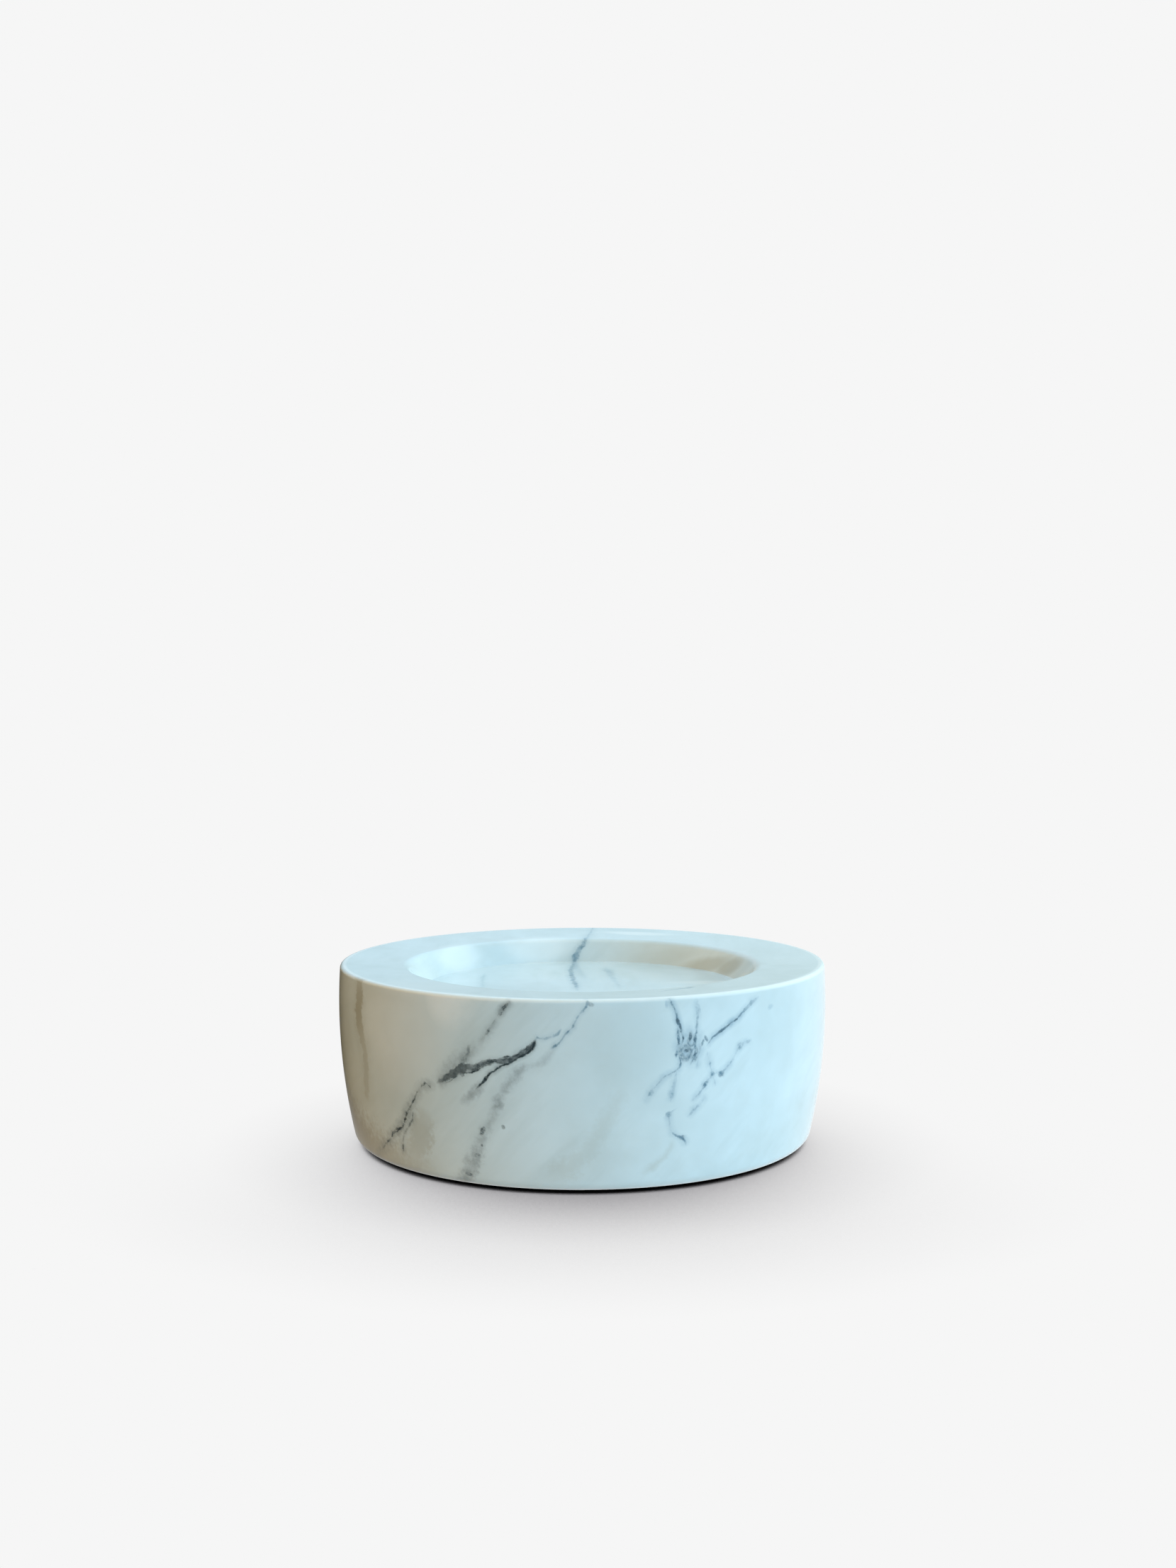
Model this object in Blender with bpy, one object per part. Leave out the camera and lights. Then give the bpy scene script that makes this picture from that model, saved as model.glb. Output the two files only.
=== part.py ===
"""Round marble tray: one turned block of veined marble with a shallow recess, on four rubber pads.

Metres, +Z up. The origin lies on the table, on the axis that the block is turned about.
The block's shape is one meridian, a line of straight runs and arcs, spun round that axis.
"""

import math

import bmesh
import bpy
from mathutils import Vector

# The outside of the stone
TRAY_DIAMETER = 0.200
MARBLE_HEIGHT = 0.072
BELLY_HEIGHT = 0.056
WALL_ARC_RADIUS = 0.235
FOOT_ROUNDING = 0.0048

# The rim, which falls inwards from its outer edge to the lip of the recess
RIM_ROUNDING = 0.0015
RIM_DROP = 0.0015

# The recess: its diameter at the lip, its depth below the rim's top, and how far its wall leans in
RECESS_DIAMETER = 0.1440
RECESS_DEPTH = 0.0110
RECESS_TAPER = 0.0065
LIP_ROUNDING = 0.0045
COVE_RADIUS = 0.0006

# The pads stuck under the stone
PAD_COUNT = 4
PAD_DIAMETER = 0.020
PAD_THICKNESS = 0.0012
PAD_EDGE_ROUNDING = 0.0003
PAD_INSET = 0.010
ADHESIVE_THICKNESS = 0.0003

# Shares of the recess wall's height that its lip and its cove may take
LIP_MOST_SHARE = 0.70
COVE_MOST_SHARE = 0.50

# Facets: round the axis, and along the arcs of a meridian
STONE_SEGMENTS = 96
PAD_SEGMENTS = 32
WALL_STEPS = 10
FOOT_STEPS = 6
RIM_STEPS = 5
LIP_STEPS = 6
COVE_STEPS = 3
PAD_EDGE_STEPS = 3
SHARPEST_SMOOTH_EDGE = math.radians(30)

MARBLE_COLOUR = "#CFDEE1"
MARBLE_ROUGHNESS = 0.16
RUBBER_COLOUR = "#2B2B2A"
RUBBER_ROUGHNESS = 0.72

STONE_BASE = PAD_THICKNESS + ADHESIVE_THICKNESS
QUARTER_TURN = math.pi / 2


def clear_scene():
    """Removes every object that the file opened with."""
    for thing in list(bpy.data.objects):
        bpy.data.objects.remove(thing)


def linear(hex_colour):
    """An sRGB hex colour as the linear RGBA that a shader takes."""
    channels = [int(hex_colour[i : i + 2], 16) / 255 for i in (1, 3, 5)]
    return (*(c / 12.92 if c <= 0.04045 else ((c + 0.055) / 1.055) ** 2.4 for c in channels), 1)


def plain_material(name, hex_colour, roughness):
    """A Principled BSDF of one colour, not metallic."""
    material = bpy.data.materials.new(name)
    material.use_nodes = True
    shader = material.node_tree.nodes["Principled BSDF"]
    shader.inputs["Base Color"].default_value = linear(hex_colour)
    shader.inputs["Roughness"].default_value = roughness
    shader.inputs["Metallic"].default_value = 0
    material.diffuse_color = linear(hex_colour)
    return material


def arc(centre, radius, start, end, steps):
    """Points along a circle of the meridian, from one angle to another, both ends included."""
    angles = [start + (end - start) * i / steps for i in range(steps + 1)]
    return [centre + Vector((math.cos(a), math.sin(a))) * radius for a in angles]


def fillet(before, corner, after, radius, steps):
    """Points of the arc that rounds a corner between two straight runs of the meridian."""
    back = (before - corner).normalized()
    ahead = (after - corner).normalized()
    half_angle = back.angle(ahead) / 2
    centre = corner + (back + ahead).normalized() * (radius / math.sin(half_angle))
    first = corner + back * (radius / math.tan(half_angle)) - centre
    turns = [(math.pi - 2 * half_angle) * i / steps for i in range(steps + 1)]
    return [centre + first * math.cos(t) - back * (radius * math.sin(t)) for t in turns]


def direction(start, end):
    """The angle of the line from one point of the meridian to another, from 0 to a full turn."""
    return math.atan2(end.y - start.y, end.x - start.x) % math.tau


def rounding_centre(wall_centre, radius, height):
    """Centre, at that height, of a rounding that meets the wall's curve from inside."""
    reach = WALL_ARC_RADIUS - radius
    across = math.sqrt(reach**2 - (height - wall_centre.y) ** 2)
    return Vector((wall_centre.x + across, height))


def wall_arc_centre():
    """Centre of the wall's barrel curve, which is widest at the belly."""
    return Vector((TRAY_DIAMETER / 2 - WALL_ARC_RADIUS, BELLY_HEIGHT))


def underside_radius():
    """Radius of the flat underside, inside the foot's rounding."""
    return rounding_centre(wall_arc_centre(), FOOT_ROUNDING, FOOT_ROUNDING).x


def outside_points():
    """The meridian from the foot to the rim's outer rounding, and that rounding's centre."""
    wall_centre = wall_arc_centre()
    foot_centre = rounding_centre(wall_centre, FOOT_ROUNDING, FOOT_ROUNDING)
    rim_centre = rounding_centre(wall_centre, RIM_ROUNDING, MARBLE_HEIGHT - RIM_ROUNDING)
    foot_joint = math.atan2(foot_centre.y - wall_centre.y, foot_centre.x - wall_centre.x)
    rim_joint = math.atan2(rim_centre.y - wall_centre.y, rim_centre.x - wall_centre.x)
    lip = Vector((RECESS_DIAMETER / 2, MARBLE_HEIGHT - RIM_DROP))
    rim_face = direction(rim_centre, lip) - math.acos(RIM_ROUNDING / (lip - rim_centre).length)
    foot = arc(foot_centre, FOOT_ROUNDING, -QUARTER_TURN, foot_joint, FOOT_STEPS)
    wall = arc(wall_centre, WALL_ARC_RADIUS, foot_joint, rim_joint, WALL_STEPS)
    rim = arc(rim_centre, RIM_ROUNDING, rim_joint, rim_face, RIM_STEPS)
    return foot + wall[1:-1] + rim


def recess_points(rim_end):
    """The meridian from the rim's face over the lip, down the leaning wall and round the cove."""
    wall_height = RECESS_DEPTH - RIM_DROP
    lip = Vector((RECESS_DIAMETER / 2, MARBLE_HEIGHT - RIM_DROP))
    heel = Vector((RECESS_DIAMETER / 2 - RECESS_TAPER, MARBLE_HEIGHT - RECESS_DEPTH))
    middle = Vector((0, heel.y))
    lip_rounding = min(LIP_ROUNDING, wall_height * LIP_MOST_SHARE)
    cove_radius = min(COVE_RADIUS, wall_height * COVE_MOST_SHARE)
    over_lip = fillet(rim_end, lip, heel, lip_rounding, LIP_STEPS)
    round_cove = fillet(lip, heel, middle, cove_radius, COVE_STEPS)
    return over_lip + round_cove + [middle]


def tray_meridian():
    """The stone's outline as (radius, height), from the middle of its underside to the middle
    of the recess floor."""
    outside = outside_points()
    return [Vector((0, 0)), *outside, *recess_points(outside[-1])]


def pad_meridian():
    """A pad's outline: a thin disc with both edges eased."""
    radius = PAD_DIAMETER / 2
    easing = min(PAD_EDGE_ROUNDING, PAD_THICKNESS / 3)
    low = Vector((radius - easing, easing))
    high = Vector((radius - easing, PAD_THICKNESS - easing))
    bottom_edge = arc(low, easing, -QUARTER_TURN, 0, PAD_EDGE_STEPS)
    top_edge = arc(high, easing, 0, QUARTER_TURN, PAD_EDGE_STEPS)
    return [Vector((0, 0)), *bottom_edge, *top_edge, Vector((0, PAD_THICKNESS))]


def turned_mesh(name, meridian, segments, material):
    """Spins a meridian, which starts and ends on the axis, into one closed mesh."""
    shape = bmesh.new()
    points = [shape.verts.new((p.x, 0, p.y)) for p in meridian]
    edges = [shape.edges.new(pair) for pair in zip(points, points[1:])]
    bmesh.ops.spin(
        shape,
        geom=points + edges,
        cent=(0, 0, 0),
        axis=(0, 0, 1),
        angle=math.tau,
        steps=segments,
        use_merge=True,
    )
    # The spin leaves a copy of each end point on the axis at every step
    shortest = min((b - a).length for a, b in zip(meridian, meridian[1:]))
    bmesh.ops.remove_doubles(shape, verts=shape.verts, dist=shortest / segments)
    bmesh.ops.recalc_face_normals(shape, faces=shape.faces)
    mesh = bpy.data.meshes.new(name)
    shape.to_mesh(mesh)
    shape.free()
    mesh.shade_smooth()
    mesh.set_sharp_from_angle(angle=SHARPEST_SMOOTH_EDGE)
    mesh.materials.append(material)
    return mesh


def add_object(name, data, parent, location):
    """Links an object, or an empty where data is None, at its place under its parent."""
    thing = bpy.data.objects.new(name, data)
    bpy.context.scene.collection.objects.link(thing)
    thing.parent = parent
    thing.location = location
    return thing


def build_stone(tray):
    """The marble block, turned in one piece and polished all over."""
    marble = plain_material("polished_marble", MARBLE_COLOUR, MARBLE_ROUGHNESS)
    mesh = turned_mesh("tray_body", tray_meridian(), STONE_SEGMENTS, marble)
    add_object("tray_body", mesh, tray, (0, 0, STONE_BASE))


def build_pads(tray):
    """The pads, evenly spaced in a ring just inside the edge of the flat underside."""
    rubber = plain_material("black_rubber", RUBBER_COLOUR, RUBBER_ROUGHNESS)
    mesh = turned_mesh("foot_pad", pad_meridian(), PAD_SEGMENTS, rubber)
    ring_radius = underside_radius() - PAD_INSET - PAD_DIAMETER / 2
    for i in range(PAD_COUNT):
        angle = math.tau * (i + 0.5) / PAD_COUNT
        place = (ring_radius * math.cos(angle), ring_radius * math.sin(angle), 0)
        add_object(f"foot_pad_{i + 1}", mesh, tray, place)


def main():
    clear_scene()
    tray = add_object("marble_tray", None, None, (0, 0, 0))
    build_stone(tray)
    build_pads(tray)
    bpy.context.view_layer.update()


if __name__ == "__main__":
    main()
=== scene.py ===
"""The looks of a round marble tray: one turned block of veined marble on four rubber pads.

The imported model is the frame. The marble is turned again here as a finer mesh in the same place.
Its veins are sheets that run into the stone from their traces, so that a deep one goes on over
the rim as in a sawn block. Metres, +Z up, with the origin on the table.
"""

import math
from typing import NamedTuple

import bmesh
import bpy
from mathutils import Matrix, Vector


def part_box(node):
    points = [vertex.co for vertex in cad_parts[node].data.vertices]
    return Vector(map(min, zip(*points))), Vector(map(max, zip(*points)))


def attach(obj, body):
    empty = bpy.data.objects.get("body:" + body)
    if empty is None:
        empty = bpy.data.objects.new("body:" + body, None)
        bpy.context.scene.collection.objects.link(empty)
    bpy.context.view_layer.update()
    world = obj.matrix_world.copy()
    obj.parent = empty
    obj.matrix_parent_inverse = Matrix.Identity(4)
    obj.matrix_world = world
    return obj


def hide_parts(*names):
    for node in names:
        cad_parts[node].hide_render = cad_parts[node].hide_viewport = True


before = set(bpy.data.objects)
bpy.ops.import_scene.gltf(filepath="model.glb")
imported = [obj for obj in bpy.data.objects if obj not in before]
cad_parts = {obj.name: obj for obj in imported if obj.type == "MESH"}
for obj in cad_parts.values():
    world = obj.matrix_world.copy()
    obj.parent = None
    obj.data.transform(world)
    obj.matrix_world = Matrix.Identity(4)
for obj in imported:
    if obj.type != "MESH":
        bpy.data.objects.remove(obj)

bl_info = {
    "name": "Marble Tray",
    "version": (1, 0, 0),
    "blender": (4, 5, 0),
    "location": "3D View > Sidebar > Tray",
    "description": "Turns a veined marble tray and sets it on a pale stage",
    "category": "Object",
}

BODY_LOW, BODY_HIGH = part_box("tray_body")
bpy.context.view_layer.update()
PADS = sorted(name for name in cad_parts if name.startswith("foot_pad"))

MM = 0.001
QUARTER_TURN = math.pi / 2

# The photograph's frame, in pixels, and the long side of Blender's default sensor
PHOTO_WIDTH = 1659
PHOTO_HEIGHT = 2212
SENSOR = 36.0

# Rings of the stone's mesh along each stretch of its meridian, and facets round the axis
AROUND = 360
STEPS = {
    "base": 12, "foot": 14, "wall": 48, "rim": 12, "face": 8, "lip": 14, "leaning": 8, "cove": 5,
    "floor": 16,
}

# Numbers of the Mix node's colour sockets, and what turns a ramp into an S-curve
MIX_A = 6
MIX_B = 7
MIX_RESULT = 2
SMOOTH = {"interpolation_type": "SMOOTHSTEP"}

# The marble's polish, clear and on its dark mineral
POLISH_ROUGHNESS = 0.13
VEIN_ROUGHNESS = 0.26
CALCITE_IOR = 1.5

# How grain boundaries shift a vein: the size of their noise and its reach, in mm
WANDER_SIZE = 4.5
WANDER_REACH = 1.5
WANDER_DETAIL = 5
WANDER_ROUGHNESS = 0.66

# In mm: how far out a vein's sheet starts, where its dark rind fades off its side, and where the
# painted highlight on the arris starts and is full
SHEET_MARGIN = 2
RIND_OUTER = 0.55
RIND_INNER = 0.05
ARRIS_HIGHLIGHT_OUTER = 1.9
ARRIS_HIGHLIGHT_INNER = 0.9

# A sheet is whole down to this share of its depth, its curve has this much room for its offsets,
# and a spot is full within the one share of its radius and gone past the other. Spots of the
# smooth kinds aren't broken up by the stone's noises.
FULL_DEPTH_SHARE = 0.55
SWING_ROOM_SHARE = 1.05
SPOT_FULL_SHARE = 0.45
SPOT_EDGE_SHARE = 1.35
SMOOTH_KINDS = ("cloud", "clear", "tan")

# The slope of the beds in the clear marble, and how much longer than thick they are
BED_SLOPE = math.radians(48)
BED_STRETCH = 5

# The rubber sheet's grain and its height in mm. The real grain is about 0.1 mm, and is drawn
# coarser so that it shows.
RUBBER_GRAIN = 0.4
RUBBER_RELIEF = 0.03
RUBBER_DETAIL = 3
RUBBER_ROUGHNESS_LOW = 0.62
RUBBER_ROUGHNESS_HIGH = 0.85

# What the paper gives the stone, as a grey that goes from dim at the one place to bright at the
# other, counted to the right of the axis
TABLE_LEFT = -0.17
TABLE_RIGHT = 0.05
TABLE_DIM = 0.10
TABLE_BRIGHT = 0.92

# The paper's shadow: how far from the tray it and its faint ring reach, how strong both are, and
# how much has to be hidden round a point for the black contact line
SHADOW_REACH = 0.13
SHADOW_STRENGTH = 2.0
RING_REACH = 0.06
RING_SHARE = 0.21
SHADE_SAMPLES = 16
CONTACT_FROM_SHARE = 0.64
CONTACT_FULL_SHARE = 0.9

# What the polish mirrors: the paper fades in from the one place to the other, and a share of the
# backdrop does between two headings, where -1 is left and 1 is right
MIRRORED_LEFT = -0.16
MIRRORED_RIGHT = 0.0
DIM_HEADING = -0.32
LIT_HEADING = -0.14
BACKDROP_SHEEN_SHARE = 0.4


def linear(hex_colour):
    """An sRGB hex colour as linear red, green and blue."""
    channels = [int(hex_colour[i : i + 2], 16) / 255 for i in (1, 3, 5)]
    return tuple(c / 12.92 if c <= 0.04045 else ((c + 0.055) / 1.055) ** 2.4 for c in channels)


def length(name, description, default):
    """A size in metres that the sidebar shows with its unit."""
    return bpy.props.FloatProperty(
        name=name, description=description, default=default, min=0, unit="LENGTH", precision=4
    )


def colour(name, description, hex_colour):
    """A colour that the sidebar shows as a swatch."""
    shown = {"name": name, "description": description, "default": linear(hex_colour)}
    return bpy.props.FloatVectorProperty(**shown, min=0, max=1, size=3, subtype="COLOR")


class TraySizes(bpy.types.PropertyGroup):
    """Sizes of the turned stone"""

    diameter: length(
        "Diameter", "Across the widest part of the wall", round(BODY_HIGH.x - BODY_LOW.x, 3)
    )
    height: length("Height", "From the stone's underside to its rim", round(BODY_HIGH.z - BODY_LOW.z, 3))
    base: length("Base", "Height of the stone's underside above the table", BODY_LOW.z)
    belly: length("Belly", "Height of the widest part above the underside", 0.056)
    wall_arc: length("Wall arc", "Radius of the wall's barrel curve", 0.235)
    foot_rounding: length("Foot rounding", "Radius of the foot's edge", 0.0048)
    rim_rounding: length("Rim rounding", "Radius of the rim's outer edge", 0.0015)
    rim_drop: length("Rim drop", "How far the rim falls from its outer edge to the lip", 0.0015)
    recess: length("Recess", "Diameter of the recess at its lip", 0.1440)
    depth: length("Depth", "From the rim's top down to the recess floor", 0.0110)
    taper: length("Taper", "How far the recess wall leans in", 0.0065)
    lip_rounding: length("Lip rounding", "Radius of the lip", 0.0045)
    cove: length("Cove", "Radius between the recess wall and floor", 0.0006)


class StoneColours(bpy.types.PropertyGroup):
    """Colours of the marble and the pads"""

    ground: colour("Ground", "The clear marble", "#E3EDF0")
    cloud: colour("Cloud", "The greyer clouds in the clear marble", "#CFDADB")
    # Clear is also the painted highlight on the arris, the lips, the back rim, the recess floor and the
    # left of the wall
    clear: colour("Clear", "The clearest calcite, and the thin arris", "#F8FBFB")
    # Tan also paints shade on the recess wall at the back right and low on the wall by the foot
    tan: colour("Tan", "Iron-stained streaks", "#AFAC9B")
    grey: colour("Grey", "The broad veins' filling, and the haze beside them", "#7A8285")
    slate: colour("Slate", "The thin veins' blue-grey", "#7C9FB3")
    dark: colour("Dark", "The veins' dark mineral", "#26363B")
    rubber: colour("Rubber", "The pads", "#2B2B2A")


class StageSettings(bpy.types.PropertyGroup):
    """Camera, floor and light"""

    lens: bpy.props.FloatProperty(
        name="Lens", description="Focal length in millimetres on the long side", default=42.25
    )
    distance: length("Distance", "From the tray's axis to the camera", 0.7576)
    eye_height: length("Eye height", "Camera above the table", 0.1868)
    aside: length("Aside", "Camera to the right of the tray's axis", 0.0025)
    pitch: bpy.props.FloatProperty(
        name="Pitch", description="How far the camera looks down", default=0.0537, subtype="ANGLE"
    )
    roll: bpy.props.FloatProperty(
        name="Roll", description="How far the camera leans", default=-0.002, subtype="ANGLE"
    )
    floor: length("Floor", "Width of the floor", 12.0)
    pale: colour("Pale", "Floor and backdrop", "#F6F6F6")
    shade: colour("Shade", "What the floor's shadow fades to", "#2C1F36")


def arc(centre, radius, start, end, steps):
    """Points along a circle of the meridian, from one angle to another, both ends included."""
    angles = [start + (end - start) * i / steps for i in range(steps + 1)]
    return [centre + Vector((math.cos(a), math.sin(a))) * radius for a in angles]


def fillet(before, corner, after, radius, steps):
    """Points of the arc that rounds a corner between two straight runs of the meridian."""
    back = (before - corner).normalized()
    ahead = (after - corner).normalized()
    half_angle = back.angle(ahead) / 2
    centre = corner + (back + ahead).normalized() * (radius / math.sin(half_angle))
    first = corner + back * (radius / math.tan(half_angle)) - centre
    turns = [(math.pi - 2 * half_angle) * i / steps for i in range(steps + 1)]
    return [centre + first * math.cos(t) - back * (radius * math.sin(t)) for t in turns]


def run(start, end, steps):
    """Points along a straight stretch of the meridian, without its ends."""
    return [start.lerp(end, i / steps) for i in range(1, steps)]


def rounding_centre(sizes, wall_centre, radius, height):
    """Centre, at that height, of a rounding that meets the wall's curve from inside."""
    reach = sizes.wall_arc - radius
    across = math.sqrt(reach**2 - (height - wall_centre.y) ** 2)
    return Vector((wall_centre.x + across, height))


def meridian(sizes):
    """The stone's outline as (radius, height above its underside), from the middle of the
    underside, up the wall, over the rim and lip, to the middle of the recess floor."""
    wall_centre = Vector((sizes.diameter / 2 - sizes.wall_arc, sizes.belly))
    foot_centre = rounding_centre(sizes, wall_centre, sizes.foot_rounding, sizes.foot_rounding)
    rim_top = sizes.height - sizes.rim_rounding
    rim_centre = rounding_centre(sizes, wall_centre, sizes.rim_rounding, rim_top)
    foot_joint = math.atan2(foot_centre.y - wall_centre.y, foot_centre.x - wall_centre.x)
    rim_joint = math.atan2(rim_centre.y - wall_centre.y, rim_centre.x - wall_centre.x)
    lip = Vector((sizes.recess / 2, sizes.height - sizes.rim_drop))
    heel = Vector((sizes.recess / 2 - sizes.taper, sizes.height - sizes.depth))
    to_lip = lip - rim_centre
    towards_lip = math.atan2(to_lip.y, to_lip.x) % math.tau
    rim_face = towards_lip - math.acos(sizes.rim_rounding / to_lip.length)
    middle_low, middle_high = Vector((0, 0)), Vector((0, heel.y))

    foot = arc(foot_centre, sizes.foot_rounding, -QUARTER_TURN, foot_joint, STEPS["foot"])
    wall = arc(wall_centre, sizes.wall_arc, foot_joint, rim_joint, STEPS["wall"])
    rim = arc(rim_centre, sizes.rim_rounding, rim_joint, rim_face, STEPS["rim"])
    over_lip = fillet(rim[-1], lip, heel, sizes.lip_rounding, STEPS["lip"])
    round_cove = fillet(lip, heel, middle_high, sizes.cove, STEPS["cove"])
    return [
        middle_low,
        *run(middle_low, foot[0], STEPS["base"]),
        *foot,
        *wall[1:-1],
        *rim,
        *run(rim[-1], over_lip[0], STEPS["face"]),
        *over_lip,
        *run(over_lip[-1], round_cove[0], STEPS["leaning"]),
        *round_cove,
        *run(round_cove[-1], middle_high, STEPS["floor"]),
        middle_high,
    ]


def turned_mesh(name, outline, lift):
    """One closed mesh: the outline turned about the axis and raised by lift."""
    shape = bmesh.new()
    rings = []
    for point in outline:
        turns = 1 if point.x == 0 else AROUND
        angles = [math.tau * i / turns for i in range(turns)]
        ring = [(point.x * math.cos(a), point.x * math.sin(a), point.y + lift) for a in angles]
        rings.append([shape.verts.new(place) for place in ring])
    for low, high in zip(rings, rings[1:]):
        for i in range(AROUND):
            j = (i + 1) % AROUND
            corners = [low[i % len(low)], low[j % len(low)], high[j % len(high)], high[i % len(high)]]
            shape.faces.new(list(dict.fromkeys(corners)))
    bmesh.ops.recalc_face_normals(shape, faces=shape.faces)
    mesh = bpy.data.meshes.new(name)
    shape.to_mesh(mesh)
    shape.free()
    mesh.shade_smooth()
    return mesh


def add_object(name, data):
    """Links a new object at the origin."""
    thing = bpy.data.objects.new(name, data)
    bpy.context.scene.collection.objects.link(thing)
    return thing


def add_node(tree, kind, sockets=(), **settings):
    """Adds a shader node with its settings. sockets holds its inputs, in their order or by name or
    number: a value, a socket that feeds the input, or a node whose first output does."""
    node = tree.nodes.new("ShaderNode" + kind)
    for name, value in settings.items():
        setattr(node, name, value)
    inputs = sockets.items() if isinstance(sockets, dict) else enumerate(sockets)
    for key, value in inputs:
        if isinstance(value, bpy.types.Node):
            value = value.outputs[0]
        if isinstance(value, bpy.types.NodeSocket):
            tree.links.new(value, node.inputs[key])
        else:
            node.inputs[key].default_value = value
    return node


def new_material(name):
    """An empty material with its output, as (material, tree, output)."""
    material = bpy.data.materials.new(name)
    material.use_nodes = True
    tree = material.node_tree
    tree.nodes.clear()
    return material, tree, add_node(tree, "OutputMaterial")


class Noise(NamedTuple):
    """A noise in the stone: its size in mm, the part of it that is used, and what that becomes."""

    size: float
    detail: float
    roughness: float
    low: float
    high: float
    to_low: float
    to_high: float


# What breaks the veins up, varies their width, mottles their dark mineral, makes the spots
# grainy, and clouds the veins' haze
VEIN_NOISES = {
    "broken": Noise(2.2, 3, 0.6, 0.34, 0.62, 0, 1.5),
    "uneven": Noise(2, 2, 0.6, 0.3, 0.7, 0.65, 1.35),
    "mottle": Noise(1.7, 3, 0.6, 0.33, 0.67, 0.5, 1.3),
    "grain": Noise(1.5, 2, 0.6, 0.36, 0.64, 0.45, 1.2),
    "cloud": Noise(4.5, 3, 0.6, 0.32, 0.68, 0.45, 1.45),
}
BEDS = Noise(10, 3, 0.6, 0.42, 0.75, 0, 0.6)
CLOUDS = Noise(42, 3, 0.55, 0.45, 0.75, 0, 0.8)
STAINS = Noise(30, 4, 0.6, 0.5, 0.75, 0, 0.14)


class Vein(NamedTuple):
    """A vein's trace on the stone and its look.

    A point of the trace is (across, up, half width in mm, cover from 0 to 1). Across and up are
    photograph pixels where the vein shows there, or else degrees round the tray, from the front
    towards the right, and millimetres above the table. The kind is the colour of its filling and
    haze. Fill and edge say how dark its middle and its rind get, soft over how many millimetres
    its side fades, and speckle how far it breaks up into grains.
    """

    name: str
    trace: tuple
    kind: str = "grey"
    plunge: str = "in"
    depth: float = 38
    fill: float = 1.0
    edge: float = 0.0
    soft: float = 0.4
    haze: float = 0.3
    haze_width: float = 3.0
    speckle: float = 0.5


class Spot(NamedTuple):
    """A grain, a small ring or a cloud by itself, or a patch of painted highlight or painted shade.

    Its middle is in photograph pixels, its half width and half height in mm and its lean in
    degrees. A ring's value is the share of its radius that its line takes, and 0 is a filled
    grain. Fill says how dark it gets.
    """

    across: float
    up: float
    half_width: float
    half_height: float
    lean: float
    cover: float
    kind: str
    ring: float = 0.0
    fill: float = 0.0


# Looks that several veins share: soft grey smoke, tan stains and painted shade, and faint slate threads
SMOKE = {"fill": 0, "haze": 0, "speckle": 0.3}
STAIN = {"kind": "tan", "fill": 0, "speckle": 0}
THREAD = {"kind": "slate", "haze": 0.5, "haze_width": 2.8, "speckle": 0.6}

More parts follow.
